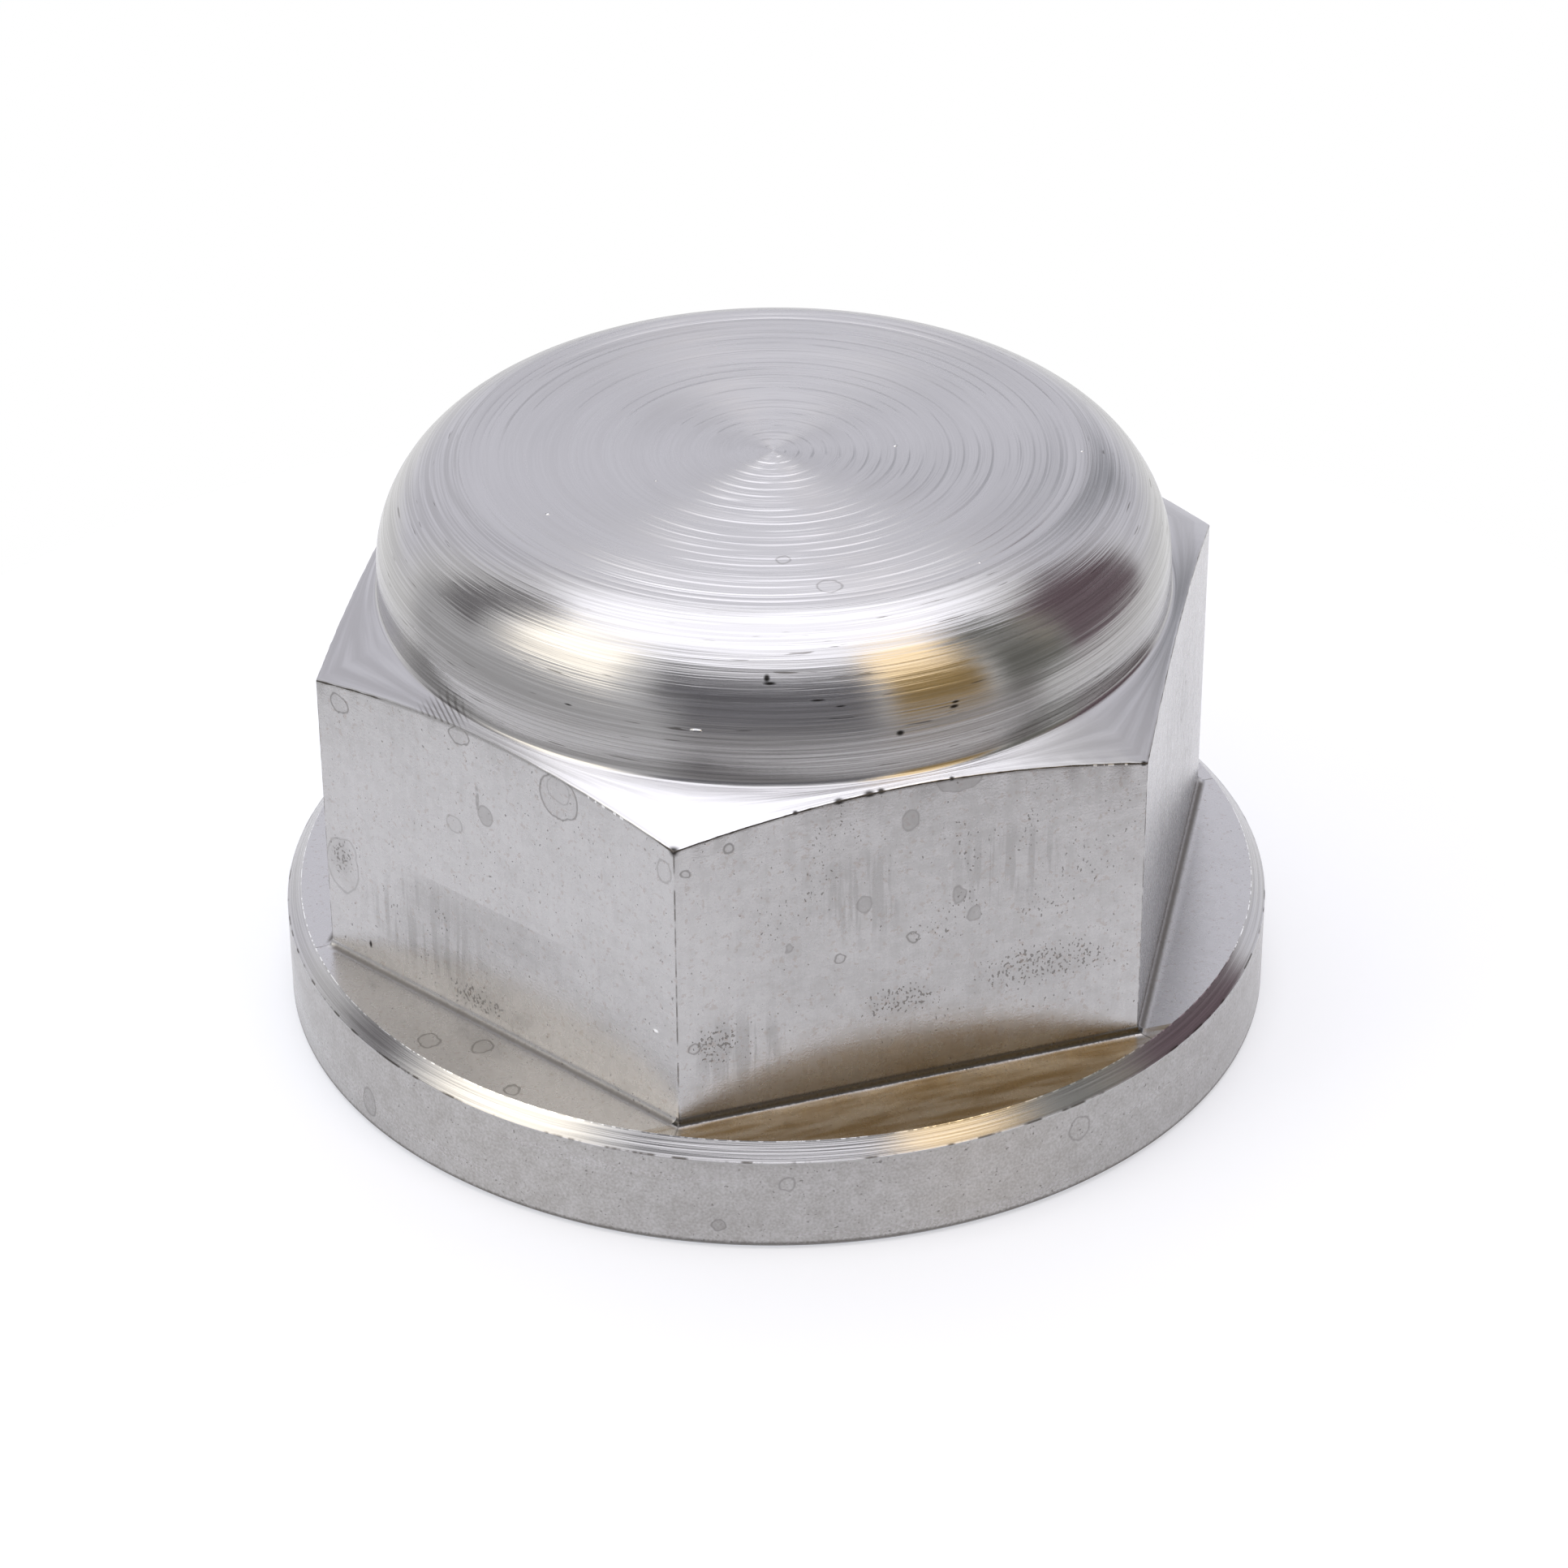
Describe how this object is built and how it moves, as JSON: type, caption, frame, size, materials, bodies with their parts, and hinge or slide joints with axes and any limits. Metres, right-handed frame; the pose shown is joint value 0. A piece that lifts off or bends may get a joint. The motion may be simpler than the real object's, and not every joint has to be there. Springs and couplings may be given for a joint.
{
  "type": "axle nut",
  "caption": "Closed axle nut in bare titanium: a hexagon on a round flange, with a domed cap over a blind fine thread.",
  "frame": {"origin": "centre of the flange's flat seat, on the thread's axis", "axes": "+Z along the thread's axis, from the seat up to the domed cap; +X through a corner of the hexagon"},
  "size_m": [0.037, 0.037, 0.0219],
  "materials": {
    "titanium": "bare machined titanium, satin, with turning rings on the cap and milled flats"
  },
  "bodies": {
    "root": {"axle_nut": "titanium"}
  },
  "joints": []
}
